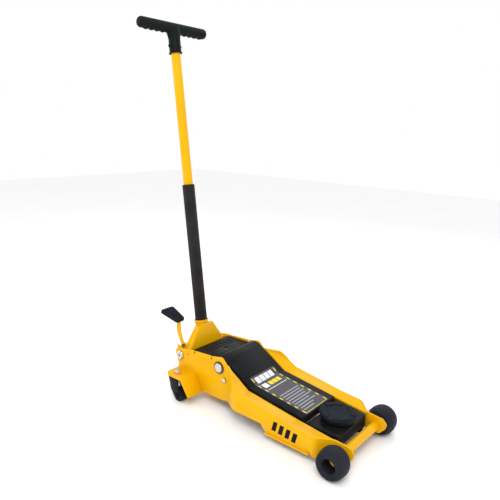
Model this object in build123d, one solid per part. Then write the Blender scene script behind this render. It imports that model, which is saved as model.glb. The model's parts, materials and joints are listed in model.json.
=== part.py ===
from build123d import *

import os
from math import cos, pi, radians, sin, tan

# A low trolley jack with a foot pedal and a T-handle. Millimetres, +X towards the saddle end,
# +Y to the left, +Z up. The shapes are drawn with x = 0 on the front axle, and every piece is
# moved forwards by SHIFT when it is written, which puts the origin on the floor below the middle.

# ---- driving dimensions -------------------------------------------------------------------
SHEET = 5.0  # thickness of the side plates and brackets
WEB_Y = 105.0  # outer face of the side plates at the rear
FLARE_Y = 150.0  # outer face of the side plates where they flare out
NOSE_Y = 108.0  # outer face of the side plates at the front axle
BEND_X = -434.0  # where the side plates begin to flare out
STOP_X, STOP_Z = -448.0, 115.0  # arm stop bolts
WHEEL_R, WHEEL_Y0, WHEEL_Y1 = 45.0, 126.0, 187.0  # front wheels
AXLE_BAR_R, JOURNAL_R = 14.0, 10.0
TIE_HALF = 136.5  # half the length of the tie rod
RUN = 0.05  # running clearance on a radius

LIFT_X, LIFT_Z = -474.0, 151.0  # lift arm pivot
NOSE_PIN_X, NOSE_PIN_Z = -52.0, 48.0  # pin that carries the saddle bracket
LIFT_DEG = 55.0  # how far the arm rises
ROD_OFFSET = 27.0  # distance of the radius rods below the arm's line
LEVER_R = 60.0  # ram lever, pivot to pin
RAM_Z = 95.0  # height of the hydraulic ram
CYL_FRONT, CYL_BACK = -520.0, -596.0  # ends of the hydraulic cylinder
BLOCK_BACK = -630.0  # rear face of the pump block
SADDLE_X = -76.0  # middle of the saddle
SADDLE_TOP = 109.0
PIN_R = 16.0  # lift pivot pin

HANDLE_X, HANDLE_Z = -661.0, 138.0  # pivot of the handle socket
LEAN_X, LEAN_DEG = -642.0, 9.3  # where the handle's line crosses HANDLE_Z, and its lean
TUBE_R, TUBE_WALL = 17.0, 3.0  # handle tube
SLEEVE_R = 22.5
SOCKET_TOP, SLEEVE_TOP, GRIP_FOOT, GRIP_BAR = 111.0, 615.0, 1087.0, 1177.0  # along the handle
SOCKET_R, SCREW_HEIGHT = 22.5, 84.0
HOOD_FOOT, HOOD_TOP = 166.0, 233.0
GRIP_HALF, GRIP_R = 162.5, 19.0
PUMP_Y, PUMP_Z, PUMP_R = -38.0, 119.5, 8.0
ROLLER_ARM, ROLLER_R = 20.0, 7.0
PLUNGER_GAP = 0.4
LUGS = ((-61.0, -55.0), (-20.0, -15.0))  # faces of the two lugs that hold the pump roller

CASTER_X, CASTER_Y = -631.0, 148.0  # kingpin of a caster
CASTER_TRAIL, CASTER_R, CASTER_W = 23.0, 25.0, 32.0
CASTER_TURN = 12.0  # how far the casters are turned outwards
WING_TOP = 92.0

SHIFT = (GRIP_R - (LEAN_X - GRIP_BAR * sin(radians(LEAN_DEG))) - WHEEL_R) / 2


# ---- helpers ------------------------------------------------------------------------------
def outline(corners):
    """A flat face in the XZ plane from (x, z) or (x, z, corner radius) corners."""
    points = [(c[0], c[1]) for c in corners]
    radii = [c[2] if len(c) > 2 else 0 for c in corners]
    return make_face(Plane.XZ * FilletPolyline(*points, radius=radii, close=True))


def slab(corners, y0, y1):
    """A plate with that side outline, from y0 to y1."""
    return extrude(Pos(0, y0, 0) * outline(corners), amount=y1 - y0, dir=(0, 1, 0))


def block(x0, x1, y0, y1, z0, z1):
    middle = Pos((x0 + x1) / 2, (y0 + y1) / 2, (z0 + z1) / 2)
    return middle * Box(x1 - x0, y1 - y0, z1 - z0)


def rod_x(r, x0, x1, y, z):
    return Pos((x0 + x1) / 2, y, z) * Rot(0, 90, 0) * Cylinder(r, x1 - x0)


def rod_y(r, y0, y1, x, z):
    return Pos(x, (y0 + y1) / 2, z) * Rot(90, 0, 0) * Cylinder(r, y1 - y0)


def rod_z(r, z0, z1, x, y):
    return Pos(x, y, (z0 + z1) / 2) * Cylinder(r, z1 - z0)


def hex_y(across, y0, y1, x, z):
    face = Plane.XZ * RegularPolygon(across / 2, 6, major_radius=False)
    return extrude(Pos(x, y0, z) * face, amount=y1 - y0, dir=(0, 1, 0))


def hex_z(across, z0, z1, x, y):
    return extrude(Pos(x, y, z0) * RegularPolygon(across / 2, 6, major_radius=False), z1 - z0)


def mirrored(shape):
    return mirror(shape, about=Plane.XZ)


def both(shape):
    """A piece and its mirror image on the other side, as one group."""
    return Compound(children=[shape, mirrored(shape)])


def on_handle(shape):
    """Places a shape drawn upright on the handle's leaning line."""
    return Pos(LEAN_X, 0, HANDLE_Z) * Rot(0, -LEAN_DEG, 0) * shape


# ---- points of the linkage ----------------------------------------------------------------
ARM_DEG = -13.72  # slope of the line from the lift pivot to the nose pin
MID = radians(ARM_DEG + LIFT_DEG / 2 - 90)
ROD_DX, ROD_DZ = ROD_OFFSET * cos(MID), ROD_OFFSET * sin(MID)
HALF = radians(LIFT_DEG / 2)
LEVER_X, LEVER_Z = LIFT_X - LEVER_R * sin(HALF), LIFT_Z - LEVER_R * cos(HALF)
ROLLER_X = HANDLE_X - ROLLER_ARM / 2
ROLLER_Z = HANDLE_Z - ROLLER_ARM * cos(radians(30))
PLUNGER_X = ROLLER_X + ROLLER_R + PLUNGER_GAP


# ---- chassis ------------------------------------------------------------------------------
def side_plate():
    """The left side plate: a web that flares out beside the arm, with a sloping top shelf."""
    path = FilletPolyline(
        (-710, WEB_Y - SHEET / 2), (BEND_X, WEB_Y - SHEET / 2), (-374, FLARE_Y - SHEET / 2),
        (-68, FLARE_Y - SHEET / 2), (-29, NOSE_Y - SHEET / 2), (60, NOSE_Y - SHEET / 2),
        radius=[30, 40, 32, 32],
    )
    strip = extrude(trace(path, line_width=SHEET), 220)
    side = extrude(
        outline([
            (-693, 157, 16), (-624, 171), (-510, 180), (-463, 190, 14), (-441, 170), (-420, 167),
            (-393, 163, 10), (-357, 133), (-329, 118, 12), (-151, 94), (-62, 87), (-34, 82), (24, 77, 14),
            (39, 63, 12), (34, 46, 14), (16, 26, 12), (-72, 24, 4), (-86, 45), (-253, 45), (-258, 53),
            (-400, 53), (-454, 38, 8), (-549, 38, 4), (-587, 87), (-671, 87), (-668, 103, 4),
        ]),
        amount=200, dir=(0, 1, 0),
    )
    plate = strip & side
    middle_y, edge_y = FLARE_Y - SHEET / 2, WEB_Y - 2
    inner = [(-452, 176), (-400, 146), (-347, 113), (-151, 90), (-26, 78)]
    outer = [(-396, 165), (-357, 133), (-329, 118), (-151, 94), (-60, 86)]
    strips = []
    for y, line in ((edge_y - 3, inner), (middle_y + 2, outer)):
        lower = [(x, z - SHEET * 1.1) for x, z in reversed(line)]
        strips.append(Pos(0, y, 0) * make_face(Plane.XZ * Polyline(*line, *lower, close=True)))
    closing = Polyline(path @ 1, (60, 80), (-710, 80), path @ 0)
    inside = extrude(make_face(path.edges() + closing.edges()), 220)
    plate += loft(strips, ruled=True) & inside & block(BEND_X - 4, -30, edge_y, 200, 0, 220)
    for x, z, r in (
        (LIFT_X, LIFT_Z, PIN_R), (HANDLE_X, HANDLE_Z, 8), (STOP_X, STOP_Z, 5), (-620, 152, 3),
        (0, WHEEL_R, JOURNAL_R),
    ):
        plate -= rod_y(r, 90, 160, x, z)
    for x, top in ((-591, 176), (-510, 182)):
        plate -= block(x - 2.5, x + 2.5, 90, 120, top - 13, top + 8)
    return plate


def lower_rail():
    """The rolled rail below the flare: it leans inwards and ends in a small lip."""
    wall = loft([
        Pos(-169.5, FLARE_Y - SHEET / 2, 45) * Rectangle(167, SHEET),
        Pos(-166, FLARE_Y - 11, 26) * Rectangle(160, SHEET),
    ])
    lip = block(-246, -86, FLARE_Y - 13.5, FLARE_Y - 2, 22, 26)
    return fillet((wall + lip).edges().filter_by(Axis.X).group_by(Axis.Z)[0], 1.5)


def on_axle(r, y0, y1):
    return rod_y(r, y0, y1, 0, WHEEL_R)


def front_axle():
    bar = on_axle(AXLE_BAR_R, -NOSE_Y + SHEET, NOSE_Y - SHEET)
    journals = on_axle(JOURNAL_R, -156, 156)
    shoulders = on_axle(15, NOSE_Y, WHEEL_Y0 - 0.5)
    axle = bar + journals + shoulders + mirrored(shoulders)
    groove = on_axle(14, 150, 152.2) - on_axle(8.6, 140, 160)
    return axle - groove - mirrored(groove)


def wheel_clip():
    ring = on_axle(13, 150.1, 152.1) - on_axle(8.6, 140, 160)
    return ring - block(8, 20, 140, 160, WHEEL_R - 4, WHEEL_R + 4)


def front_wheel():
    """Barrel-shaped wheel: widest in the middle, with a deep hub recess on the outside."""
    half = [
        (JOURNAL_R + RUN, WHEEL_Y0), (38, WHEEL_Y0), (WHEEL_R, WHEEL_Y0 + 16), (WHEEL_R, WHEEL_Y1 - 24),
        (WHEEL_R - 2.5, WHEEL_Y1 - 10), (38, WHEEL_Y1), (25, WHEEL_Y1), (21, WHEEL_Y1 - 5),
        (20, WHEEL_Y1 - 38), (JOURNAL_R + RUN, WHEEL_Y1 - 38),
    ]
    radii = [0, 5, 20, 20, 8, 6, 2, 3, 3, 0]
    section = Plane.YZ * make_face(FilletPolyline(*[(y, r) for r, y in half], radius=radii, close=True))
    return Pos(0, 0, WHEEL_R) * revolve(section, Axis.Y)


def caster_bracket():
    """A bent wing welded to the side plate: a flat top for the caster and a sloping front."""
    top, foot = WING_TOP, 38
    profile = [
        (-668, top), (-584, top, 20), (-545, foot), (-551, foot), (-588, top - SHEET, 6), (-668, top - SHEET),
    ]
    wing = slab(profile, WEB_Y, 178)
    plan = make_face(FilletPolyline(
        (-669, WEB_Y - 1), (-669, 160), (-650, 178), (-530, 178), (-530, WEB_Y - 1),
        radius=[0, 8, 8, 26, 0], close=True,
    ))
    wing &= extrude(plan, 150)
    return wing - rod_z(7, 80, 100, CASTER_X, CASTER_Y)


def caster_bolt():
    shank = rod_z(7, 77, WING_TOP, CASTER_X, CASTER_Y)
    head = rod_z(11, 74, 77, CASTER_X, CASTER_Y)
    nut = hex_z(19, WING_TOP, 101, CASTER_X, CASTER_Y)
    return shank + head + nut


def caster_fork():
    """Fork of a caster that trails along +X from a kingpin at the origin."""
    gap, outer = CASTER_W / 2 + 0.8, CASTER_W / 2 + 4.3
    crown = rod_z(24, 81.5, 86.5, 0, 0) + rod_z(17, 78, 82, 0, 0)
    crown += block(-26, CASTER_TRAIL + 8, -outer, outer, 78, 82)
    leg = slab([
        (-30, 82, 5), (CASTER_TRAIL + 12, 82, 5), (CASTER_TRAIL + 15, 30, 12), (CASTER_TRAIL + 7, 13, 9),
        (CASTER_TRAIL - 9, 13, 9), (CASTER_TRAIL - 34, 36, 14),
    ], gap, outer)
    fork = crown + leg + mirrored(leg)
    fork -= rod_z(7 + RUN, 70, 90, 0, 0) + rod_z(12, 70, 78, 0, 0)
    fork -= rod_y(4, -outer - 1, outer + 1, CASTER_TRAIL, CASTER_R)
    axle = rod_y(4, -outer, outer, CASTER_TRAIL, CASTER_R)
    heads = rod_y(7, outer, outer + 3, CASTER_TRAIL, CASTER_R)
    return Compound(children=[fork, axle + heads + mirrored(heads)])


def caster_wheel():
    wheel = rod_y(CASTER_R, -CASTER_W / 2, CASTER_W / 2, CASTER_TRAIL, CASTER_R)
    wheel = fillet(wheel.edges().filter_by(GeomType.CIRCLE), 4)
    face = CASTER_W / 2
    dish = rod_y(17, face - 3, face + 1, CASTER_TRAIL, CASTER_R) - rod_y(8, face - 4, face + 1, CASTER_TRAIL, CASTER_R)
    return wheel - dish - mirrored(dish) - rod_y(4 + RUN, -20, 20, CASTER_TRAIL, CASTER_R)


def place_caster(shape, side):
    return Pos(CASTER_X, side * CASTER_Y, 0) * Rot(0, 0, side * CASTER_TURN) * shape


def base_plate():
    plate = block(-640, -545, -80, 80, 42, 48) + block(-549, -501, -WEB_Y + SHEET, WEB_Y - SHEET, 42, 48)
    plate += block(-640, -634, -80, 80, 42, 70)
    return plate


def lift_pivot_pin():
    pin = rod_y(PIN_R, -113, 113, LIFT_X, LIFT_Z)
    return chamfer(pin.edges().filter_by(GeomType.CIRCLE), 2)


def lift_pin_collar():
    return rod_y(21, WEB_Y, WEB_Y + 3, LIFT_X, LIFT_Z) - rod_y(PIN_R, 90, 120, LIFT_X, LIFT_Z)


def handle_pivot_bolt():
    head = rod_y(16, WEB_Y, WEB_Y + 7, HANDLE_X, HANDLE_Z)
    head = chamfer(head.edges().filter_by(GeomType.CIRCLE).sort_by(Axis.Y)[-1], 2.5)
    socket = hex_y(10, WEB_Y + 2, WEB_Y + 8, HANDLE_X, HANDLE_Z)
    return head + rod_y(8, 40, WEB_Y, HANDLE_X, HANDLE_Z) - socket


def arm_stop_bolt():
    """Bolt through the side plate, with a thin nut that clears the radius rod."""
    head = hex_y(14, WEB_Y + 0.8, WEB_Y + 7, STOP_X, STOP_Z) + rod_y(6, WEB_Y, WEB_Y + 1, STOP_X, STOP_Z)
    nut = hex_y(17, WEB_Y - SHEET - 5, WEB_Y - SHEET, STOP_X, STOP_Z)
    return head + nut + rod_y(5, WEB_Y - SHEET - 5, WEB_Y, STOP_X, STOP_Z)


def power_unit_cover():
    """Pressed tray that closes the bay in front of the handle, with a vent row and two tabs."""
    width = WEB_Y - SHEET - 0.4
    tray = slab([(-622, 150), (-618, 163, 5), (-598, 168.5, 8), (-508, 172), (-508, 169), (-597, 165.5, 5),
                 (-615.5, 160.5, 2), (-619, 150)], -width, width)
    rear_tab = block(-593, -589, 94, WEB_Y - 0.5, 166, 168.8)
    front_tab = block(-512, -508, 94, WEB_Y - 0.5, 169, 171.8)
    for tab in (rear_tab, front_tab):
        tray += tab + mirrored(tab)
    for i in range(7):
        y = -60 + 20 * i
        tray -= block(-585, -553, y - 2.5, y + 2.5, 150, 180)
    return tray - rod_z(7, 150, 180, -534, 0)


def pump_block():
    """Cast block with the pump bore, the valve boss and the seat of the cylinder."""
    body = block(BLOCK_BACK, CYL_BACK, -50, 50, 48, 134)
    body = fillet(body.edges().filter_by(Axis.X), 8)
    boss = on_handle(rod_z(13, -48, -12, 0, 0)) + block(-642, BLOCK_BACK, -13, 13, 92, 122)
    body += boss
    body -= rod_x(PUMP_R, BLOCK_BACK - 1, -600, PUMP_Y, PUMP_Z)
    body -= on_handle(rod_z(6 + RUN, -42, 10, 0, 0))
    return body - rod_z(7, 124, 140, -612, 25)


def oil_filler_plug():
    return rod_z(7, 124, 134, -612, 25) + hex_z(17, 134, 141, -612, 25)


def cylinder_head():
    head = rod_x(42, CYL_FRONT - 8, CYL_FRONT, 0, RAM_Z) - rod_x(18 + RUN, CYL_FRONT - 9, CYL_FRONT + 1, 0, RAM_Z)
    return chamfer(head.edges().filter_by(GeomType.CIRCLE).filter_by(lambda e: e.radius > 40), 2)


def ring_x(outer, inner, x0, x1, y, z):
    return rod_x(outer, x0, x1, y, z) - rod_x(inner, x0 - 1, x1 + 1, y, z)


def radius_rod_anchor():
    x, z = LIFT_X + ROD_DX, LIFT_Z + ROD_DZ
    return rod_y(5, 84, WEB_Y - SHEET, x, z) + rod_y(8, 84, 86, x, z) + rod_y(8, 95, WEB_Y - SHEET, x, z)


def return_spring():
    """Closed stand-in for the extension spring between the pump block and the ram pin."""
    return rod_x(7, CYL_BACK, LEVER_X - 8, 54, RAM_Z + 2)


# ---- lift arm -----------------------------------------------------------------------------
COVER = [(-499, 174), (-492, 183), (-476, 188), (-455, 182), (-345, 118), (-143, 95), (-138, 78)]


def arm_plate():
    plate = slab([
        (-491, 174, 3), (-476, 184), (-457, 177.6), (-346, 113.6), (-149, 91), (-139, 72), (-72, 72),
        (-35, 70, 16), (-29.5, 48, 8), (-38, 28, 12), (-62, 24, 10), (-150, 40, 30), (-345, 68, 30), (-440, 112, 20),
        (-462, 127, 8), (-486, 127, 12), (-496, 150, 10),
    ], 74, 80)
    plate -= rod_y(PIN_R + RUN, 70, 90, LIFT_X, LIFT_Z)
    return plate - rod_y(9, 70, 90, NOSE_PIN_X, NOSE_PIN_Z)


def arm_cover():
    """The sheet on top of the arm: a ridge over the pivot, a steep slope and a long flat."""
    under = [(-142, 78), (-146, 91), (-346, 114), (-457, 178), (-476, 184), (-489, 180), (-495, 174)]
    bend_radii, under_radii = (0, 6, 12, 14, 14, 5, 0), (0, 2, 10, 10, 8, 3, 0)
    sheet = slab([(*point, r) for point, r in zip(COVER, bend_radii)]
                 + [(*point, r) for point, r in zip(under, under_radii)], -95, 95)
    rail = slab([(-485, 182), (-476, 186), (-456, 180), (-346, 116), (-147, 93), (-147, 82), (-346, 105),
                 (-456, 166), (-476, 172), (-487, 170)], 91.5, 95)
    return sheet + rail + mirrored(rail)


def ram_lever():
    """Two cheeks on the pivot tube that carry the ram pin."""
    centre = (LIFT_X, LIFT_Z)
    hub, eye = rod_y(30, 18.5, 28, *centre), rod_y(12, 18.5, 28, LEVER_X, LEVER_Z)
    side = (cos(HALF), -sin(HALF))
    web = [
        (LIFT_X + 28 * side[0], LIFT_Z + 28 * side[1]), (LEVER_X + 12 * side[0], LEVER_Z + 12 * side[1]),
        (LEVER_X - 12 * side[0], LEVER_Z - 12 * side[1]), (LIFT_X - 28 * side[0], LIFT_Z - 28 * side[1]),
    ]
    cheek = hub + eye + slab(web, 18.5, 28)
    cheek -= rod_y(22, 0, 40, *centre) + rod_y(7, 0, 40, LEVER_X, LEVER_Z)
    return both(cheek)


def arm_pivot_tube():
    tube = rod_y(22, -74, 74, LIFT_X, LIFT_Z)
    return tube - rod_y(PIN_R + RUN, -80, 80, LIFT_X, LIFT_Z)


# ---- saddle -------------------------------------------------------------------------------
def saddle_bracket():
    """Inverted channel that stays level: a top plate, a front wall and two cheeks with lugs."""
    top = block(-131, -24, -87, 87, 75.5, 80)
    front = block(-28.5, -24, -87, 87, 44, 78)
    rod_x_, rod_z_ = NOSE_PIN_X + ROD_DX, NOSE_PIN_Z + ROD_DZ
    cheek = slab([(-131, 80), (-24, 80), (-24, 44, 6), (rod_x_ + 9, rod_z_ - 8, 8), (rod_x_ - 9, rod_z_ - 8, 8),
                  (-74, 44, 8), (-131, 66, 8)], 83, 87)
    channel = top + front + cheek + mirrored(cheek)
    channel = fillet(channel.edges().filter_by(Axis.Z).filter_by_position(Axis.X, -25, -23), 3.5)
    boss = rod_z(25, 72, 75.5, SADDLE_X, 0)
    pins = rod_y(5, 87, 98, rod_x_, rod_z_) + rod_y(8, 95.5, 98, rod_x_, rod_z_)
    channel += boss + pins + mirrored(pins)
    channel -= rod_y(9 + RUN, -90, 90, NOSE_PIN_X, NOSE_PIN_Z)
    return channel - rod_z(12 + RUN, 70, 90, SADDLE_X, 0)


def saddle_plate():
    plate = rod_z(48, 84, 92, SADDLE_X, 0) + rod_z(24, 80.3, 84.5, SADDLE_X, 0) + rod_z(12, 66, 84, SADDLE_X, 0)
    groove = rod_z(14, 67.8, 70, SADDLE_X, 0) - rod_z(10.5, 60, 75, SADDLE_X, 0)
    return plate - groove


def saddle_clip():
    ring = rod_z(16, 67.9, 69.9, SADDLE_X, 0) - rod_z(10.5, 60, 75, SADDLE_X, 0)
    return ring - block(SADDLE_X - 3, SADDLE_X + 3, 5, 20, 60, 75)


def saddle_pad():
    """Rubber pad: a round block over the saddle's rim with raised lugs and cross grooves."""
    flare = loft([Pos(SADDLE_X, 0, 86) * Circle(51), Pos(SADDLE_X, 0, 100) * Circle(57.5)])
    pad = flare + rod_z(57.5, 100, 106, SADDLE_X, 0)
    pad = fillet(pad.edges().filter_by(GeomType.CIRCLE).sort_by(Axis.Z)[-1], 3)
    pad -= rod_z(48, 80, 92, SADDLE_X, 0)
    rim = rod_z(54, 105, SADDLE_TOP, SADDLE_X, 0) - rod_z(38, 100, 120, SADDLE_X, 0)
    for turn in (0, 90):
        rim -= Pos(SADDLE_X, 0, 110) * Rot(0, 0, turn) * Box(120, 18, 8)
    pad += rim
    for turn in (45, 135, 225, 315):
        pad -= Pos(SADDLE_X, 0, 92) * Rot(0, 0, turn) * Pos(57, 0, 0) * Box(9, 24, 10)
    return pad


# ---- radius rods and ram ------------------------------------------------------------------
def radius_rod():
    ends = [(LIFT_X + ROD_DX, LIFT_Z + ROD_DZ), (NOSE_PIN_X + ROD_DX, NOSE_PIN_Z + ROD_DZ)]
    span_x, span_z = ends[1][0] - ends[0][0], ends[1][1] - ends[0][1]
    length = (span_x**2 + span_z**2) ** 0.5
    up_x, up_z = -span_z / length * 5.5, span_x / length * 5.5
    bar = slab([
        (ends[0][0] + up_x, ends[0][1] + up_z), (ends[1][0] + up_x, ends[1][1] + up_z),
        (ends[1][0] - up_x, ends[1][1] - up_z), (ends[0][0] - up_x, ends[0][1] - up_z),
    ], 88, 94)
    for x, z in ends:
        bar += rod_y(8, 88, 94, x, z)
    bar -= rod_y(5 + RUN, 80, 100, *ends[0])
    return bar - rod_y(5.6, 80, 100, *ends[1])


def ram_crosshead():
    """Block on the ram with an upright slot for the lever pin."""
    head = block(LEVER_X - 15, LEVER_X + 15, -14, 14, 78, 116)
    head = fillet(head.edges().filter_by(Axis.Y), 6)
    slot = slab([
        (LEVER_X - 7.8, 82.8, 7), (LEVER_X - 7.8, 107.5, 7), (LEVER_X + 7.8, 107.5, 7), (LEVER_X + 7.8, 82.8, 7),
    ], -20, 20)
    return head - slot


# ---- pump and release valve ---------------------------------------------------------------
def pump_plunger():
    cap = rod_x(10, PLUNGER_X, PLUNGER_X + 4, PUMP_Y, PUMP_Z)
    return cap + rod_x(PUMP_R - RUN, PLUNGER_X, -622, PUMP_Y, PUMP_Z)


def pump_spring():
    return ring_x(10, 8.4, PLUNGER_X + 4, BLOCK_BACK, PUMP_Y, PUMP_Z)


def release_valve_stem():
    stem = rod_z(6, -40, -2, 0, 0) + rod_z(10, -11, -3, 0, 0)
    return on_handle(stem + block(-8, 8, -4, 4, -3, 7))


# ---- handle socket ------------------------------------------------------------------------
def hood_shell(wall, drop=0):
    """Solid hood shape, shrunk by the wall and with its top lowered by drop."""
    low = Pos(-659, 0, HOOD_FOOT) * RectangleRounded(68 - 2 * wall, 190 - 2 * wall, 18 - wall)
    high = Pos(-658, 0, HOOD_TOP - drop) * RectangleRounded(50 - 2 * wall, 90 - 2 * wall, 14 - wall)
    return loft([low, high])


def socket_hood():
    """Folded hood that narrows from the side plates to the handle. Its back is open."""
    hood = hood_shell(0) - hood_shell(4, 4) - block(-720, -649, -100, 100, 150, 250)
    hood += block(-629, -625, -91, 91, 150, HOOD_FOOT)
    cheek = slab([
        (-690, HOOD_FOOT), (-630, HOOD_FOOT), (-637, 138, 16), (-650, 119, 12), (-672, 119, 12), (-684, 138, 16),
    ], 91, 95)
    hood += cheek + mirrored(cheek)
    hood -= rod_y(8 + RUN, -100, 100, HANDLE_X, HANDLE_Z)
    return hood - on_handle(rod_z(SOCKET_R, 86, 140, 0, 0))


def socket_tube():
    """Tube behind the hood's face, with a flared collar that holds the foot of the grip sleeve."""
    tube = rod_z(SOCKET_R, 40, 108, 0, 0) + rod_z(27, 100, SOCKET_TOP, 0, 0)
    lower = tube.edges().filter_by(GeomType.CIRCLE).filter_by(lambda e: e.radius > 26).sort_by(Axis.Z)[0]
    tube = chamfer(lower, 4.4)
    tube -= rod_z(TUBE_R + 0.35, 0, 200, 0, 0) + rod_z(23.2, 103, 200, 0, 0)
    tube = on_handle(tube - rod_x(4, -30, 0, 0, SCREW_HEIGHT)) - socket_hood()
    return tube.solids().sort_by(SortBy.VOLUME)[-1]


def retaining_screw():
    """Screw through the socket tube whose tip runs in a groove of the handle."""
    shank = rod_x(4, -24, -15.9, 0, SCREW_HEIGHT) + rod_x(7, -29, -24, 0, SCREW_HEIGHT)
    return on_handle(shank)


def socket_bosses():
    """Pivot bosses on the socket's cheeks. The right one carries the lugs of the pump roller."""
    bore = rod_y(8 + RUN, -92, 92, HANDLE_X, HANDLE_Z)
    left = rod_y(14, 40, 91, HANDLE_X, HANDLE_Z) - bore
    right = rod_y(14, -91, LUGS[0][0], HANDLE_X, HANDLE_Z)
    for y0, y1 in LUGS:
        right += rod_y(9, y0, y1, ROLLER_X, ROLLER_Z)
        right += slab([(HANDLE_X - 13, 154, 3), (HANDLE_X + 11, 154, 3), (HANDLE_X + 13, HANDLE_Z - 6, 6),
                       (ROLLER_X + 8, ROLLER_Z - 5), (ROLLER_X - 9, ROLLER_Z)], y0, y1)
    right += block(HANDLE_X - 11, HANDLE_X + 9, LUGS[0][1], LUGS[1][0], 148.5, 154)
    right -= bore + rod_y(3, -92, 0, ROLLER_X, ROLLER_Z)
    return Compound(children=[left, right])


PEDAL_X, PEDAL_Z = -652.0, 175.0
PAD_X, PAD_Z, PAD_DEG = -672.0, 261.0, 17.0  # front of the tread, on its underside, and its tilt


def pedal_bracket():
    """Ear that stands on the right cheek and carries the pedal's pivot."""
    ear = slab([(-668, HOOD_FOOT), (-638, HOOD_FOOT), (-642, PEDAL_Z + 9, 9), (-662, PEDAL_Z + 9, 9)], -95, -91)
    return ear - hood_shell(0) - rod_y(4, -100, -80, PEDAL_X, PEDAL_Z)


def pedal_arm():
    """Curved flat arm, from its pivot eye up to the tread."""
    rear_x = PAD_X - 17
    curve = [
        (PEDAL_X + 7, PEDAL_Z - 7, 7), (PEDAL_X - 17, PEDAL_Z + 46, 60), (PAD_X, PAD_Z),
        (rear_x, PAD_Z + 17 * tan(radians(PAD_DEG))), (PEDAL_X - 36, PEDAL_Z + 46, 60), (PEDAL_X - 9, PEDAL_Z - 7, 7),
    ]
    return slab(curve, -99.5, -95.3) - rod_y(4 + RUN, -110, -80, PEDAL_X, PEDAL_Z)


def pedal_pad():
    """Rubber tread: narrow where it meets the arm, wider at the back."""
    plan = make_face(FilletPolyline((3, -20), (3, 20), (-78, 32), (-78, -32), radius=[9, 9, 9, 9], close=True))
    tread = extrude(plan, 12)
    tread = fillet(tread.edges().group_by(Axis.Z)[-1], 4)
    return Pos(PAD_X, -99, PAD_Z) * Rot(0, PAD_DEG, 0) * tread


def pedal_bolt():
    shank = rod_y(4, -99.8, -91, PEDAL_X, PEDAL_Z)
    return shank + hex_y(11, -104, -99.8, PEDAL_X, PEDAL_Z)


# ---- handle -------------------------------------------------------------------------------
def handle_lower_tube():
    tube = rod_z(TUBE_R, 60, 600, 0, 0) - rod_z(TUBE_R - TUBE_WALL, 0, 700, 0, 0)
    groove = rod_z(20, SCREW_HEIGHT - 4.5, SCREW_HEIGHT + 4.5, 0, 0) - rod_z(15.4, 60, 110, 0, 0)
    return on_handle(tube - groove)


def handle_upper_tube():
    tube = rod_z(TUBE_R, 600, 1125, 0, 0) - rod_z(TUBE_R - TUBE_WALL, 500, 1200, 0, 0)
    return on_handle(tube - rod_y(4, -30, 30, 0, GRIP_FOOT + 26))


def foam_sleeve():
    sleeve = rod_z(SLEEVE_R, 103, SLEEVE_TOP, 0, 0) - rod_z(TUBE_R, 0, 700, 0, 0)
    return on_handle(chamfer(sleeve.edges().filter_by(lambda e: abs(e.length - 2 * pi * SLEEVE_R) < 1), 1.5))


def handle_dog():
    """Plug in the foot of the handle, on a stem with a cross slot that turns the release valve."""
    dog = rod_z(TUBE_R - TUBE_WALL, 60, 78, 0, 0) + rod_z(8, 10, 62, 0, 0) + rod_z(13, 4, 16, 0, 0)
    return on_handle(dog - block(-20, 20, -5.5, 5.5, 0, 12))


def t_grip():
    """Moulded crossbar with a neck that slips over the handle tube."""
    bar = rod_y(GRIP_R, -GRIP_HALF, GRIP_HALF, 0, GRIP_BAR)
    bar = fillet(bar.edges().filter_by(GeomType.CIRCLE), 12)
    neck = rod_z(21.5, GRIP_FOOT, GRIP_BAR, 0, 0) + rod_z(25, GRIP_FOOT, GRIP_FOOT + 4, 0, 0)
    yoke = loft([
        Pos(0, 0, GRIP_FOOT + 52) * Circle(21.5),
        Pos(0, 0, GRIP_BAR - 8) * Ellipse(18, 36),
    ])
    grip = bar + neck + yoke
    grip -= rod_z(TUBE_R, GRIP_FOOT - 1, 1126, 0, 0)
    return on_handle(grip - rod_y(4, -30, 30, 0, GRIP_FOOT + 26))


def grip_bolt():
    height = GRIP_FOOT + 26
    bolt = rod_y(4, -21.5, 21.5, 0, height) + rod_y(7, -27, -21.5, 0, height) + hex_y(12, 21.5, 27, 0, height)
    return on_handle(bolt)


# ---- write every piece --------------------------------------------------------------------
left_plate = side_plate()
left_wheel = front_wheel()

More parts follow.
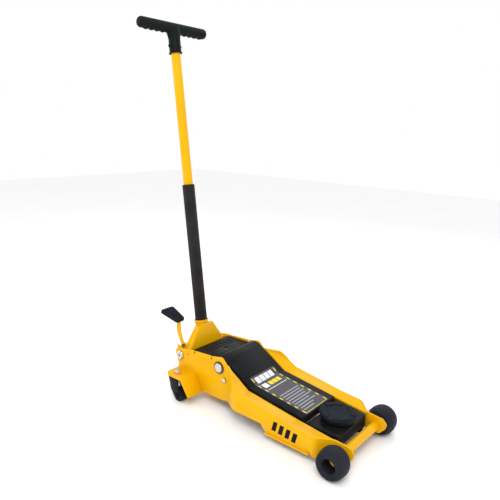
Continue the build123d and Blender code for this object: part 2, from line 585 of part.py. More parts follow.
pieces = {
    "left_side_plate": left_plate,
    "right_side_plate": mirrored(left_plate),
    "lower_rails": both(lower_rail()),
    "front_axle": front_axle(),
    "wheel_clips": both(wheel_clip()),
    "left_front_wheel": left_wheel,
    "right_front_wheel": mirrored(left_wheel),
    "tie_rod": rod_y(7, -TIE_HALF, TIE_HALF, -200, 34),
    "base_plate": base_plate(),
    "caster_brackets": both(caster_bracket()),
    "caster_bolts": both(caster_bolt()),
    "lift_pivot_pin": lift_pivot_pin(),
    "lift_pin_collars": both(lift_pin_collar()),
    "handle_pivot_bolts": both(handle_pivot_bolt()),
    "arm_stop_bolts": both(arm_stop_bolt()),
    "power_unit_cover": power_unit_cover(),
    "pump_block": pump_block(),
    "oil_filler_plug": oil_filler_plug(),
    "reservoir_tube": ring_x(42, 38, CYL_BACK, CYL_FRONT - 8, 0, RAM_Z),
    "cylinder_tube": ring_x(27, 20, CYL_BACK, CYL_FRONT - 8, 0, RAM_Z),
    "cylinder_head": cylinder_head(),
    "radius_rod_anchors": both(radius_rod_anchor()),
    "return_springs": both(return_spring()),
    "arm_plates": both(arm_plate()),
    "arm_cover": arm_cover(),
    "arm_pivot_tube": arm_pivot_tube(),
    "ram_lever": ram_lever(),
    "ram_pin": rod_y(7, -62, 62, LEVER_X, LEVER_Z),
    "saddle_cross_pin": rod_y(9, -87, 87, NOSE_PIN_X, NOSE_PIN_Z),
    "saddle_bracket": saddle_bracket(),
    "radius_rods": both(radius_rod()),
    "saddle_plate": saddle_plate(),
    "saddle_clip": saddle_clip(),
    "saddle_pad": saddle_pad(),
    "ram_rod": rod_x(18, CYL_BACK + 1, LEVER_X - 15, 0, RAM_Z),
    "ram_seal": ring_x(19.9, 18, CYL_BACK + 2, CYL_BACK + 10, 0, RAM_Z),
    "ram_crosshead": ram_crosshead(),
    "pump_plunger": pump_plunger(),
    "pump_spring": pump_spring(),
    "release_valve_stem": release_valve_stem(),
    "socket_hood": socket_hood(),
    "socket_tube": socket_tube(),
    "socket_bosses": socket_bosses(),
    "pump_roller": rod_y(ROLLER_R, -54.5, -20.5, ROLLER_X, ROLLER_Z) - rod_y(3 + RUN, -60, 0, ROLLER_X, ROLLER_Z),
    "roller_pin": rod_y(3, -61, -15, ROLLER_X, ROLLER_Z),
    "retaining_screw": retaining_screw(),
    "pedal_bracket": pedal_bracket(),
    "pedal_arm": pedal_arm(),
    "pedal_pad": pedal_pad(),
    "pedal_bolt": pedal_bolt(),
    "handle_lower_tube": handle_lower_tube(),
    "handle_upper_tube": handle_upper_tube(),
    "foam_sleeve": foam_sleeve(),
    "handle_dog": handle_dog(),
    "t_grip": t_grip(),
    "grip_bolt": grip_bolt(),
}
for name, side in (("left", 1), ("right", -1)):
    pieces[name + "_caster_fork"] = place_caster(caster_fork(), side)
    pieces[name + "_caster_wheel"] = place_caster(caster_wheel(), side)

os.makedirs("parts", exist_ok=True)
for name, shape in pieces.items():
    export_step(Pos(SHIFT, 0, 0) * shape, f"parts/{name}.step")
print(len(pieces), "pieces, shift", round(SHIFT, 2), "rod offset", round(ROD_DX, 2), round(ROD_DZ, 2),
      "lever", round(LEVER_X, 2), round(LEVER_Z, 2), "roller", round(ROLLER_X, 2), round(ROLLER_Z, 2))
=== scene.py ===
import json
import math

import bpy
from mathutils import Matrix, Vector


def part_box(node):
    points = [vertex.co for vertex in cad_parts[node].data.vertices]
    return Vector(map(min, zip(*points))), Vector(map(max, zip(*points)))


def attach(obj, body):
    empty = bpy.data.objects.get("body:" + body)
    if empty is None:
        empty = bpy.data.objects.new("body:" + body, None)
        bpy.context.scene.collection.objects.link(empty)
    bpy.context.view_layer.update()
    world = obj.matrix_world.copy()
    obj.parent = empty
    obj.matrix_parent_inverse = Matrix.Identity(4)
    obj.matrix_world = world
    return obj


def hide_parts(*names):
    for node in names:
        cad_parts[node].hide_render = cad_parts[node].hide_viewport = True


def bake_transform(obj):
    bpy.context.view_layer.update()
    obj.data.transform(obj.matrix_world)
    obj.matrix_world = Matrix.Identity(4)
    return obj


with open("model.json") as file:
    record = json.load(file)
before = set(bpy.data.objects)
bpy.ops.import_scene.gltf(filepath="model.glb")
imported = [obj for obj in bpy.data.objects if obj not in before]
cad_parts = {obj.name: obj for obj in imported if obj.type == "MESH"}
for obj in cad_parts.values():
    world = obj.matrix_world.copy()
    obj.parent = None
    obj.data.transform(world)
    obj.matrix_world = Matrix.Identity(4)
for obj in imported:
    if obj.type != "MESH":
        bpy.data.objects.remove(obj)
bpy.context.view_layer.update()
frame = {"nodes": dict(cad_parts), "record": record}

nodes = frame["nodes"]
print("frame loaded:", len(nodes), "nodes")


def newMaterial(name, color, roughness, metallic=0.0):
    mat = bpy.data.materials.new(name)
    mat.use_nodes = True
    shader = mat.node_tree.nodes["Principled BSDF"]
    shader.inputs["Base Color"].default_value = (*color, 1)
    shader.inputs["Roughness"].default_value = roughness
    shader.inputs["Metallic"].default_value = metallic
    mat.diffuse_color = (*color, 1)
    return mat, mat.node_tree, shader


def coordinates(tree, scale=(1, 1, 1), turn=(0, 0, 0), place=(0, 0, 0)):
    coord = tree.nodes.new("ShaderNodeTexCoord")
    mapping = tree.nodes.new("ShaderNodeMapping")
    mapping.inputs["Scale"].default_value = scale
    mapping.inputs["Rotation"].default_value = turn
    mapping.inputs["Location"].default_value = place
    tree.links.new(coord.outputs["Object"], mapping.inputs["Vector"])
    return mapping.outputs["Vector"]


def noise(tree, vector, scale, detail=3.0, rough=0.5):
    node = tree.nodes.new("ShaderNodeTexNoise")
    node.inputs["Scale"].default_value = scale
    node.inputs["Detail"].default_value = detail
    node.inputs["Roughness"].default_value = rough
    tree.links.new(vector, node.inputs["Vector"])
    return node.outputs["Fac"]


def ramp(tree, value, stops):
    node = tree.nodes.new("ShaderNodeValToRGB")
    points = node.color_ramp.elements
    while len(points) < len(stops):
        points.new(0.5)
    for point, (place, color) in zip(points, stops):
        point.position = place
        point.color = (*color, 1)
    tree.links.new(value, node.inputs["Fac"])
    return node.outputs["Color"]


def spread(tree, value, low, high, toLow, toHigh):
    node = tree.nodes.new("ShaderNodeMapRange")
    for name, number in (("From Min", low), ("From Max", high), ("To Min", toLow), ("To Max", toHigh)):
        node.inputs[name].default_value = number
    tree.links.new(value, node.inputs["Value"])
    return node.outputs["Result"]


def addBump(tree, shader, height, strength, distance):
    node = tree.nodes.new("ShaderNodeBump")
    node.inputs["Strength"].default_value = strength
    node.inputs["Distance"].default_value = distance
    tree.links.new(height, node.inputs["Height"])
    tree.links.new(node.outputs["Normal"], shader.inputs["Normal"])


def makeYellowPaint():
    paint = {"color": (0.75, 0.392, 0.0), "deep": (0.7, 0.355, 0.0), "specular": 0.12}
    mat, tree, shader = newMaterial("yellowPaint", paint["color"], 0.36)
    patches = noise(tree, coordinates(tree), 9.0, 4)
    color = ramp(tree, patches, [(0.3, paint["deep"]), (0.62, paint["color"])])
    tree.links.new(color, shader.inputs["Base Color"])
    film = noise(tree, coordinates(tree), 60.0, 3)
    tree.links.new(spread(tree, film, 0.3, 0.7, 0.3, 0.44), shader.inputs["Roughness"])
    peel = noise(tree, coordinates(tree), 420.0, 2)
    addBump(tree, shader, peel, 0.08, 0.0006)
    shader.inputs["Specular IOR Level"].default_value = paint["specular"]
    shader.inputs["Coat Weight"].default_value = 0.04
    shader.inputs["Coat Roughness"].default_value = 0.1
    return mat


def makeBlackPaint():
    mat, tree, shader = newMaterial("blackPaint", (0.007, 0.0075, 0.009), 0.42)
    film = noise(tree, coordinates(tree), 26.0, 4)
    color = ramp(tree, film, [(0.3, (0.005, 0.0055, 0.0065)), (0.75, (0.011, 0.012, 0.014))])
    tree.links.new(color, shader.inputs["Base Color"])
    tree.links.new(spread(tree, film, 0.3, 0.7, 0.36, 0.5), shader.inputs["Roughness"])
    grain = noise(tree, coordinates(tree), 900.0, 2)
    addBump(tree, shader, grain, 0.12, 0.0004)
    shader.inputs["Specular IOR Level"].default_value = 0.25
    shader.inputs["IOR"].default_value = 1.22
    return mat


def makeFilm(name, color):
    # printed label film, with faint wear in the ink
    mat, tree, shader = newMaterial(name, color, 0.45)
    wear = noise(tree, coordinates(tree), 320.0, 4)
    faded = tuple(c * 0.82 for c in color)
    tree.links.new(ramp(tree, wear, [(0.35, faded), (0.6, color)]), shader.inputs["Base Color"])
    tree.links.new(spread(tree, wear, 0.3, 0.7, 0.38, 0.52), shader.inputs["Roughness"])
    shader.inputs["Specular IOR Level"].default_value = 0.25
    return mat


def makeSteel(name, color, roughness, streak, scale=(60, 2400, 60)):
    mat, tree, shader = newMaterial(name, color, roughness, 1.0)
    lines = noise(tree, coordinates(tree, scale=scale), 1.0, 3)
    dark = tuple(c * (1 - streak) for c in color)
    tree.links.new(ramp(tree, lines, [(0.3, dark), (0.7, color)]), shader.inputs["Base Color"])
    sheen = spread(tree, lines, 0.3, 0.7, roughness * 0.75, roughness * 1.25)
    tree.links.new(sheen, shader.inputs["Roughness"])
    addBump(tree, shader, lines, 0.1, 0.0002)
    return mat


def makeZinc():
    mat, tree, shader = newMaterial("zincPlate", (0.62, 0.66, 0.72), 0.3, 1.0)
    clouds = noise(tree, coordinates(tree), 180.0, 4)
    stops = [(0.3, (0.48, 0.52, 0.6)), (0.55, (0.68, 0.71, 0.76)), (0.8, (0.74, 0.72, 0.62))]
    color = ramp(tree, clouds, stops)
    tree.links.new(color, shader.inputs["Base Color"])
    tree.links.new(spread(tree, clouds, 0.3, 0.7, 0.22, 0.42), shader.inputs["Roughness"])
    return mat


def makeCastIron():
    mat, tree, shader = newMaterial("castIron", (0.03, 0.031, 0.034), 0.6, 0.3)
    grit = noise(tree, coordinates(tree), 260.0, 5, 0.6)
    color = ramp(tree, grit, [(0.3, (0.02, 0.02, 0.023)), (0.7, (0.05, 0.05, 0.052))])
    tree.links.new(color, shader.inputs["Base Color"])
    addBump(tree, shader, grit, 0.5, 0.0008)
    return mat


def makeRubber(name, color, roughness, grain, depth):
    mat, tree, shader = newMaterial(name, color, roughness)
    dust = noise(tree, coordinates(tree), 14.0, 5)
    pale = tuple(c * 1.5 + 0.002 for c in color)
    tree.links.new(ramp(tree, dust, [(0.35, color), (0.8, pale)]), shader.inputs["Base Color"])
    matt = spread(tree, dust, 0.3, 0.7, roughness * 0.9, min(1, roughness * 1.15))
    tree.links.new(matt, shader.inputs["Roughness"])
    addBump(tree, shader, noise(tree, coordinates(tree), grain, 3), 0.35, depth)
    shader.inputs["Specular IOR Level"].default_value = 0.2
    shader.inputs["IOR"].default_value = 1.22
    return mat


def makeFoam():
    mat, tree, shader = newMaterial("foam", (0.014, 0.0125, 0.012), 0.85)
    cells = tree.nodes.new("ShaderNodeTexVoronoi")
    cells.inputs["Scale"].default_value = 900.0
    tree.links.new(coordinates(tree), cells.inputs["Vector"])
    wear = noise(tree, coordinates(tree), 20.0, 4)
    color = ramp(tree, wear, [(0.3, (0.011, 0.01, 0.0095)), (0.75, (0.022, 0.019, 0.018))])
    tree.links.new(color, shader.inputs["Base Color"])
    addBump(tree, shader, cells.outputs["Distance"], 0.35, 0.0006)
    shader.inputs["Specular IOR Level"].default_value = 0.15
    shader.inputs["Sheen Weight"].default_value = 0.08
    shader.inputs["Sheen Roughness"].default_value = 0.5
    return mat


def makeFloor():
    mat, tree, shader = newMaterial("paleFloor", (0.93, 0.93, 0.925), 0.75)
    speck = noise(tree, coordinates(tree), 3.0, 4)
    color = ramp(tree, speck, [(0.3, (0.92, 0.92, 0.915)), (0.7, (0.94, 0.94, 0.935))])
    tree.links.new(color, shader.inputs["Base Color"])
    return mat


mats = {
    "yellow_paint": makeYellowPaint(),
    "black_paint": makeBlackPaint(),
    "bright_steel": makeSteel("brightSteel", (0.66, 0.65, 0.62), 0.28, 0.25),
    "zinc": makeZinc(),
    "dark_steel": makeSteel("darkSteel", (0.12, 0.115, 0.11), 0.42, 0.4),
    "cast_block": makeCastIron(),
    "chrome_rod": makeSteel("chromeRod", (0.8, 0.81, 0.83), 0.1, 0.08),
    "spring_steel": makeSteel("springSteel", (0.32, 0.32, 0.33), 0.35, 0.3, (200, 200, 200)),
    "seal_rubber": makeRubber("sealRubber", (0.012, 0.012, 0.013), 0.6, 700.0, 0.0002),
    "pad_rubber": makeRubber("padRubber", (0.009, 0.012, 0.017), 0.6, 500.0, 0.0004),
    "wheel_nylon": makeRubber("wheelNylon", (0.014, 0.015, 0.02), 0.45, 240.0, 0.0002),
    "caster_tread": makeRubber("casterTread", (0.01, 0.011, 0.013), 0.4, 300.0, 0.0002),
    "foam": makeFoam(),
    "label_film": makeFilm("labelFilm", (0.05, 0.05, 0.06)),
    "label_yellow": makeFilm("labelYellow", (0.85, 0.62, 0.0)),
    "label_white": makeFilm("labelWhite", (0.75, 0.75, 0.78)),
    "label_grey": makeFilm("labelGrey", (0.3, 0.31, 0.35)),
    "grip_plastic": makeRubber("gripPlastic", (0.006, 0.008, 0.0085), 0.45, 600.0, 0.0003),
}
for entry in frame["record"]["subparts"]:
    slots = nodes[entry["node"]].data.materials
    slots.clear()
    slots.append(mats[entry["material_slot"]])
print("materials made:", len(mats))

bodyOf = {node: body for body, names in frame["record"]["behaviour"]["bodies"].items() for node in names}
mm = 0.001


def clearPick():
    bpy.ops.object.select_all(action="DESELECT")


def pick(*pieces):
    clearPick()
    for piece in pieces:
        piece.select_set(True)
    bpy.context.view_layer.objects.active = pieces[0]


def newPiece(name):
    piece = bpy.context.object
    piece.name = name
    return piece


def settle(piece):
    pick(piece)
    bpy.ops.object.transform_apply(location=True, rotation=True, scale=True)


def applyAll(piece):
    pick(piece)
    for modifier in list(piece.modifiers):
        bpy.ops.object.modifier_apply(modifier=modifier.name)


def editAll(piece):
    pick(piece)
    bpy.ops.object.mode_set(mode="EDIT")
    bpy.ops.mesh.select_all(action="SELECT")


def leaveEdit():
    bpy.ops.object.mode_set(mode="OBJECT")


def cleanUp(piece, flip=True):
    editAll(piece)
    bpy.ops.mesh.remove_doubles(threshold=0.00002)
    if flip:
        bpy.ops.mesh.normals_make_consistent(inside=False)
    leaveEdit()


def closeEnds(piece):
    # a face over each open end
    editAll(piece)
    bpy.ops.mesh.select_all(action="DESELECT")
    bpy.ops.mesh.select_non_manifold()
    bpy.ops.mesh.edge_face_add()
    leaveEdit()


def smooth(piece, angle=35):
    pick(piece)
    bpy.ops.object.shade_smooth_by_angle(angle=math.radians(angle))


def roundEdges(piece, width, segments=2, angle=30):
    bevel = piece.modifiers.new("roundEdge", "BEVEL")
    bevel.width = width
    bevel.segments = segments
    bevel.limit_method = "ANGLE"
    bevel.angle_limit = math.radians(angle)
    applyAll(piece)


def moveTo(piece, matrix):
    piece.matrix_world = matrix @ piece.matrix_world
    settle(piece)


def copyOf(piece, name, matrix=None):
    twin = bpy.data.objects.new(name, piece.data.copy())
    bpy.context.scene.collection.objects.link(twin)
    if matrix is not None:
        moveTo(twin, matrix)
    return twin


def join(name, *pieces):
    pick(*pieces)
    if len(pieces) > 1:
        bpy.ops.object.join()
    return newPiece(name)


def mount(piece, body, slot, *replaced):
    piece.data.materials.clear()
    piece.data.materials.append(mats[slot])
    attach(piece, body)
    if replaced:
        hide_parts(*replaced)
    return piece


def turned(name, profile, segments=48):
    # a turned piece: rings of (radius, height) drawn out one after the other, ending where they began
    clearPick()
    radius, height = profile[0]
    bpy.ops.mesh.primitive_circle_add(vertices=segments, radius=radius, location=(0, 0, 0))
    piece = newPiece(name)
    bpy.ops.object.mode_set(mode="EDIT")
    bpy.ops.mesh.select_all(action="SELECT")
    bpy.ops.transform.translate(value=(0, 0, height))
    for nextRadius, nextHeight in profile[1:]:
        step = {"value": (0, 0, nextHeight - height)}
        bpy.ops.mesh.extrude_region_move(TRANSFORM_OT_translate=step)
        grow = nextRadius / radius
        bpy.ops.transform.resize(value=(grow, grow, 1), center_override=(0, 0, nextHeight))
        radius, height = nextRadius, nextHeight
    leaveEdit()
    cleanUp(piece)
    return piece


slotOf = {entry["node"]: entry["material_slot"] for entry in frame["record"]["subparts"]}
jointOf = {joint["name"]: joint for joint in frame["record"]["behaviour"]["joints"]}
axleRadius = 15 * mm
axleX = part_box("front_axle")[1][0] - axleRadius  # places along the jack are counted from here


def along(x):
    # place along the jack, in mm from the front axle
    return axleX + x * mm


def makeEased(node, width, flat=True):
    # a plate, tube or casting with its sharp edges eased, as paint and wear leave them
    words = node.split("_")
    piece = copyOf(nodes[node], words[0] + "".join(word.capitalize() for word in words[1:]))
    cleanUp(piece, flip=False)
    if flat:  # flat sides become single faces
        editAll(piece)
        bpy.ops.mesh.dissolve_limited(angle_limit=math.radians(0.5))
        leaveEdit()
    roundEdges(piece, width * mm)
    smooth(piece, 40)
    return mount(piece, bodyOf[node], slotOf[node], node)


easedEdges = {  # width of the eased edge, in mm
    "left_side_plate": 1.1, "right_side_plate": 1.1, "lower_rails": 0.8, "caster_brackets": 1.0,
    "base_plate": 0.8, "power_unit_cover": 0.7, "arm_cover": 0.9, "arm_plates": 0.9,
    "saddle_bracket": 0.9, "radius_rods": 0.6, "socket_hood": 1.2, "socket_bosses": 0.8,
    "pedal_arm": 0.7, "pedal_bracket": 0.7, "left_caster_fork": 0.9, "right_caster_fork": 0.9,
    "saddle_pad": 1.0, "saddle_plate": 0.8, "caster_bolts": 0.5, "handle_pivot_bolts": 0.6,
    "arm_stop_bolts": 0.6, "lift_pivot_pin": 0.8, "ram_crosshead": 0.7, "ram_lever": 0.7,
    "pump_block": 1.0, "cylinder_head": 0.6, "pedal_bolt": 0.4, "retaining_screw": 0.4,
}
eased = {node: makeEased(node, width, node != "saddle_pad") for node, width in easedEdges.items()}
print("plates, brackets and castings eased:", len(eased))


def handleMatrix():
    joint = jointOf["handle_twist"]
    lean = math.degrees(math.asin(-joint["axis"][0]))
    return Matrix.Translation(joint["pos_m"]) @ Matrix.Rotation(-math.radians(lean), 4, "Y")


def makeFoamSleeve():
    sleeve = {"foot": 103, "top": 615, "radius": 22.4, "bore": 17.05, "ring": 16, "sag": 0.25}
    rim = [(-2.2, 0), (-0.6, 0.9), (0, 2.8)]  # how the ends round over: change of radius, distance in
    foot, top, radius = sleeve["foot"], sleeve["top"], sleeve["radius"]
    profile = [(sleeve["bore"], foot)] + [(radius + less, foot + inward) for less, inward in rim]
    height = foot + sleeve["ring"]
    while height < top - sleeve["ring"]:
        profile.append((radius - sleeve["sag"] * (0.5 + 0.5 * math.sin(height * 0.17)), height))
        height += sleeve["ring"]
    profile += [(radius + less, top - inward) for less, inward in reversed(rim)]
    profile += [(sleeve["bore"], top), (sleeve["bore"], foot)]
    piece = turned("foamSleeve", [(r * mm, z * mm) for r, z in profile], 64)
    moveTo(piece, handleMatrix())
    smooth(piece, 50)
    mount(piece, "handle", "foam", "foam_sleeve")
    return piece


def makeGrip():
    grip = {"bar": 1177, "bumps": (54, 80, 106, 132), "bump": (12, 10.5, 11), "drop": 11.5, "voxel": 1.4}
    parts = []
    for side in (-1, 1):
        for place in grip["bumps"]:
            clearPick()
            bpy.ops.mesh.primitive_uv_sphere_add(segments=24, ring_count=16, radius=mm)
            bump = newPiece("bump")
            bump.scale = grip["bump"]
            bump.location = (0, side * place * mm, (grip["bar"] - grip["drop"]) * mm)
            settle(bump)
            moveTo(bump, handleMatrix())
            parts.append(bump)
    body = copyOf(nodes["t_grip"], "tGrip")
    cleanUp(body, flip=False)
    piece = join("tGrip", body, *parts)
    remesh = piece.modifiers.new("melt", "REMESH")
    remesh.mode = "VOXEL"
    remesh.voxel_size = grip["voxel"] * mm
    soften = piece.modifiers.new("soften", "SMOOTH")
    soften.factor, soften.iterations = 0.5, 6
    applyAll(piece)
    smooth(piece, 60)
    return mount(piece, "handle", "grip_plastic", "t_grip")


makeFoamSleeve()
makeGrip()
print("handle sleeve and grip made")


def makeCoil(name, spring, side=1):
    # a round wire wound along the jack between two places
    start, end, wire = spring["start"], spring["end"], spring["wire"]
    y, z = side * spring["y"], spring["z"]
    clearPick()
    bpy.ops.mesh.primitive_circle_add(vertices=10, radius=wire * mm / 2,
                                      location=(0, 0, spring["radius"] * mm), rotation=(math.pi / 2, 0, 0))
    piece = newPiece(name)
    settle(piece)
    screw = piece.modifiers.new("wind", "SCREW")
    screw.axis = "X"
    screw.angle = math.tau
    screw.iterations = spring["turns"]
    screw.screw_offset = (abs(end - start) - wire) * mm / spring["turns"]
    screw.steps = screw.render_steps = 18
    screw.use_merge_vertices = True
    applyAll(piece)
    closeEnds(piece)
    low = min(corner[0] for corner in piece.bound_box)
    moveTo(piece, Matrix.Translation((along(min(start, end)) - low, y * mm, z * mm)))
    cleanUp(piece)
    smooth(piece, 60)
    piece.data.materials.append(mats["spring_steel"])
    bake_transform(piece)
    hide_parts(spring["node"])


returnSpring = {"start": -596, "end": -509.7, "y": 54, "z": 97, "radius": 6.1, "wire": 1.8, "turns": 24,
                "pulls": "ram", "node": "return_springs"}
pumpSpring = {"start": -630, "end": -659.4, "y": -38, "z": 119.5, "radius": 9.1, "wire": 1.7, "turns": 6,
              "pulls": "pump_plunger", "node": "pump_spring"}
makeCoil("leftReturnSpring", returnSpring, 1)
makeCoil("rightReturnSpring", returnSpring, -1)
makeCoil("pumpSpring", pumpSpring)
print("springs wound")


def makeStrip(x0, x1, y0, y1):
    # a flat patch of film above a place on the arm, divided so that it can follow the bend
    strip = {"lengthStep": 6, "widthStep": 12, "above": 300}
    clearPick()
    length, width = abs(x1 - x0), abs(y1 - y0)
    bpy.ops.mesh.primitive_grid_add(x_subdivisions=max(1, round(length / strip["lengthStep"])),
                                    y_subdivisions=max(1, round(width / strip["widthStep"])), size=1)
    patch = bpy.context.object
    patch.scale = (length * mm, width * mm, 1)
    patch.location = (along((x0 + x1) / 2), (y0 + y1) / 2 * mm, strip["above"] * mm)
    settle(patch)
    return patch


def layDown(name, patches, lift, mat):
    piece = join(name, *patches)
    wrap = piece.modifiers.new("layDown", "SHRINKWRAP")
    wrap.target = eased["arm_cover"]
    wrap.wrap_method = "PROJECT"
    wrap.use_project_z = True
    wrap.use_negative_direction, wrap.use_positive_direction = True, False
    wrap.offset = lift * mm
    film = piece.modifiers.new("film", "SOLIDIFY")
    film.thickness, film.offset = 0.12 * mm, -1
    applyAll(piece)
    mount(piece, "lift_arm", "black_paint")
    piece.data.materials.clear()
    piece.data.materials.append(mat)
    return piece


def makeArmLabel():
    label = {"from": -372, "to": -146, "half": 66, "lift": 0.2, "ink": 0.15,
             "dashes": 8, "dash": 13, "dashHalf": 2.2, "dashLine": 61, "margin": 5,
             "rowStart": -258, "rowStep": 11.5, "rowWidth": 4, "rowFoot": -52,
             "rowEnds": (52, 46, 50, 40, 52, 30, 48, 20, 6)}
    first, last, half, lift = label["from"], label["to"], label["half"], label["lift"]
    layDown("labelFilm", [makeStrip(first, last, -half, half)], lift, mats["label_film"])
    lift += label["ink"]
    step = (last - first - 24) / (label["dashes"] - 1)
    yellow = [makeStrip(-333, -315, -18 + 21 * block, 21 * block) for block in range(3)]
    yellow.append(makeStrip(-151, -149.5, -60, 60))
    for number in range(label["dashes"]):
        start = first + label["margin"] + step * number
        for middle in (-label["dashLine"], label["dashLine"]):
            low, high = middle - label["dashHalf"], middle + label["dashHalf"]
            yellow.append(makeStrip(start, start + label["dash"], low, high))
    layDown("labelDashes", yellow, lift, mats["label_yellow"])
    bold = [makeStrip(-366, -344, -50 + 24 * block, -29 + 24 * block) for block in range(4)]
    bold += [makeStrip(-335, -313, -50, -26), makeStrip(-303, -300.5, -52, 50)]
    layDown("labelBlocks", bold, lift, mats["label_white"])
    rows = []
    for number, rowEnd in enumerate(label["rowEnds"]):
        start = label["rowStart"] + label["rowStep"] * number
        rows.append(makeStrip(start, start + label["rowWidth"], label["rowFoot"], rowEnd))
    layDown("labelRows", rows, lift, mats["label_grey"])


def makeSideBars():
    # four slanted bars on each flared wall
    bars = {"count": 4, "first": -217, "step": 24, "width": 15, "foot": 50, "height": 31, "fall": 2.4,
            "slant": 7, "wall": 150, "thick": 0.28}
    for side in (-1, 1):
        parts = []
        for number in range(bars["count"]):
            clearPick()
            x = along(bars["first"] + bars["step"] * number + bars["width"] / 2)
            y = side * (bars["wall"] + bars["thick"] / 2) * mm
            z = (bars["foot"] + bars["height"] / 2 - bars["fall"] * number) * mm
            size = (bars["width"] * mm, bars["thick"] * mm, bars["height"] * mm)
            bpy.ops.mesh.primitive_cube_add(size=1, location=(x, y, z), scale=size)
            bar = newPiece("bar")
            settle(bar)
            bpy.ops.object.mode_set(mode="EDIT")
            bpy.ops.mesh.select_all(action="DESELECT")
            leaveEdit()
            for vertex in bar.data.vertices:
                vertex.select = vertex.co.z > z
            bpy.ops.object.mode_set(mode="EDIT")
            bpy.ops.transform.translate(value=(bars["slant"] * mm, 0, 0))
            leaveEdit()
            parts.append(bar)
        piece = join("leftSideBars" if side > 0 else "rightSideBars", *parts)
        roundEdges(piece, 0.1 * mm, 1)
        mount(piece, "chassis", "black_paint")


makeArmLabel()
makeSideBars()
print("label and side bars laid")


def makeSeam(name, length, radius, matrix):
    # a straight bead of weld: overlapping ripples along a line
    profile = [(radius * 0.25, 0.0)]
    height = 0.6
    while height < length - 0.6:
        profile.append((radius * (0.84 + 0.16 * abs(math.sin(height * 1.15))), height))
        height += 1.1
    profile.append((radius * 0.25, length))
    piece = turned(name, [(r * mm, z * mm) for r, z in profile], 10)
    closeEnds(piece)
    moveTo(piece, matrix)
    cleanUp(piece)
    smooth(piece, 60)
    return piece


def makeRingSeam(name, ring, bead, matrix):
    # a bead of weld round a bar or tube
    count = max(36, round(ring * 4))
    clearPick()
    bpy.ops.mesh.primitive_torus_add(major_radius=ring * mm, minor_radius=bead * mm,
                                     major_segments=count, minor_segments=8)
    piece = newPiece(name)
    for vertex in piece.data.vertices:
        station = round((math.atan2(vertex.co.y, vertex.co.x) % math.tau) / math.tau * count)
        vertex.select = station % 3 == 0
    for edge in piece.data.edges:
        edge.select = False
    for face in piece.data.polygons:
        face.select = False
    bpy.ops.object.mode_set(mode="EDIT")
    bpy.ops.transform.shrink_fatten(value=-0.28 * bead * mm)
    leaveEdit()
    moveTo(piece, matrix)
    smooth(piece, 60)
    return piece


def turnedTo(axis, x, y, z):
    # from upright to along the named axis, at a place on the jack
    return Matrix.Translation((along(x), y * mm, z * mm)) @ Matrix.Rotation(math.pi / 2, 4, axis)


def makeFrameWelds():
    wing = {"start": -664, "end": -588, "y": 105, "z": 92.5, "bead": 2.4}
    rings = ({"ring": 14.3, "bead": 2.2, "x": 0, "y": 101.8, "z": 45},  # front axle
             {"ring": 7.2, "bead": 1.5, "x": -200, "y": 134.5, "z": 34})  # tie rod
    seams = []
    for side in (-1, 1):
        matrix = turnedTo("Y", wing["start"], side * wing["y"], wing["z"])
        seams.append(makeSeam("seam", wing["end"] - wing["start"], wing["bead"], matrix))
        for weld in rings:
            matrix = turnedTo("X", weld["x"], side * weld["y"], weld["z"])
            seams.append(makeRingSeam("seam", weld["ring"], weld["bead"], matrix))
    mount(join("frameWelds", *seams), "chassis", "yellow_paint")


def makeSocketWeld():
    # round the socket tube where it comes through the top of the hood
    weld = {"ring": 22.9, "bead": 2.0, "z": 233.2}
    joint = jointOf["handle_twist"]
    rise = weld["z"] * mm - joint["pos_m"][2]
    x = joint["pos_m"][0] + rise * joint["axis"][0] / joint["axis"][2]
    matrix = Matrix.Translation((x, 0, weld["z"] * mm))
    piece = makeRingSeam("socketWeld", weld["ring"], weld["bead"], matrix)
    mount(piece, "handle_socket", "yellow_paint")


makeFrameWelds()
makeSocketWeld()
print("welds laid")


def makeTread():
    # raised ribs on the pedal's rubber
    tread = {"front": -672, "foot": 261, "lean": 17, "y": -99, "thick": 12,
             "ribs": 6, "first": 12, "step": 11, "width": 4, "height": 1.6, "sunk": 0.6}
    place = (Matrix.Translation((along(tread["front"]), tread["y"] * mm, tread["foot"] * mm))
             @ Matrix.Rotation(math.radians(tread["lean"]), 4, "Y"))
    ribs = []
    for number in range(tread["ribs"]):
        reach = tread["first"] + tread["step"] * number
        height = tread["height"] + tread["sunk"]
        middle = tread["thick"] + tread["height"] - height / 2
        clearPick()
        bpy.ops.mesh.primitive_cube_add(size=1, location=(-reach * mm, 0, middle * mm),
                                        scale=(tread["width"] * mm, (33 + reach * 0.25) * mm, height * mm))
        rib = newPiece("rib")
        settle(rib)
        roundEdges(rib, 0.8 * mm, 3)
        ribs.append(rib)
    piece = join("pedalTread", *ribs)
    moveTo(piece, place)
    smooth(piece, 40)
    mount(piece, "foot_pedal", "pad_rubber")


makeTread()
print("pedal tread made")


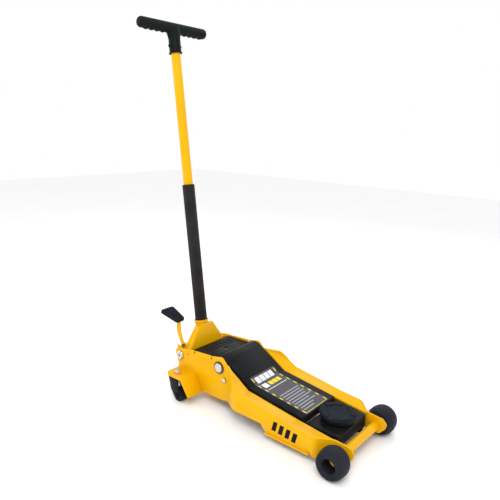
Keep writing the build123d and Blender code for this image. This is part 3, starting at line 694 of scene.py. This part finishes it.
def makeStage():
    stage = {"size": 14.0, "world": 1.0}
    clearPick()
    bpy.ops.mesh.primitive_plane_add(size=stage["size"])
    floor = bpy.context.object
    floor.name = "floor"
    floor.data.materials.append(makeFloor())
    world = bpy.data.worlds.new("studio")
    world.use_nodes = True
    world.node_tree.nodes["Background"].inputs["Color"].default_value = (1, 1, 1, 1)
    world.node_tree.nodes["Background"].inputs["Strength"].default_value = stage["world"]
    bpy.context.scene.world = world
    bpy.context.scene.view_settings.view_transform = "Standard"


def addLight(name, place, aim, size, power):
    light = bpy.data.lights.new(name, "AREA")
    light.shape = "RECTANGLE"
    light.size, light.size_y = size
    light.energy = power
    lamp = bpy.data.objects.new(name, light)
    bpy.context.scene.collection.objects.link(lamp)
    lamp.location = place
    lamp.rotation_euler = (Vector(aim) - Vector(place)).to_track_quat("-Z", "Y").to_euler()


def makeCamera():
    view = {"place": (1.0341, -1.3933, 0.9661), "azimuth": 41.3, "down": 10.5, "roll": 1.7,
            "lens": 38.42, "shift": (0.065, -0.054)}
    az, down, roll = (math.radians(view[k]) for k in ("azimuth", "down", "roll"))
    right = Vector((math.cos(az), math.sin(az), 0))
    ahead = Vector((-math.sin(az) * math.cos(down), math.cos(az) * math.cos(down), -math.sin(down)))
    up = right.cross(ahead)
    sideways = right * math.cos(roll) + up * math.sin(roll)
    upwards = up * math.cos(roll) - right * math.sin(roll)
    turn = Matrix((sideways, upwards, -ahead)).transposed().to_4x4()
    data = bpy.data.cameras.new("camera")
    data.lens, data.sensor_width = view["lens"], 36
    data.shift_x, data.shift_y = view["shift"]
    camera = bpy.data.objects.new("camera", data)
    bpy.context.scene.collection.objects.link(camera)
    camera.matrix_world = Matrix.Translation(view["place"]) @ turn
    bpy.context.scene.camera = camera


makeStage()
addLight("keyLight", (1.2, -1.8, 2.6), (0, 0, 0.3), (1.4, 1.4), 42)
addLight("fillLight", (-2.2, -1.2, 1.6), (0, 0, 0.3), (1.6, 1.6), 14)
addLight("backLight", (-0.6, 2.4, 2.2), (0, 0, 0.3), (2.2, 1.2), 18)
makeCamera()
print("stage, lights and camera ready")
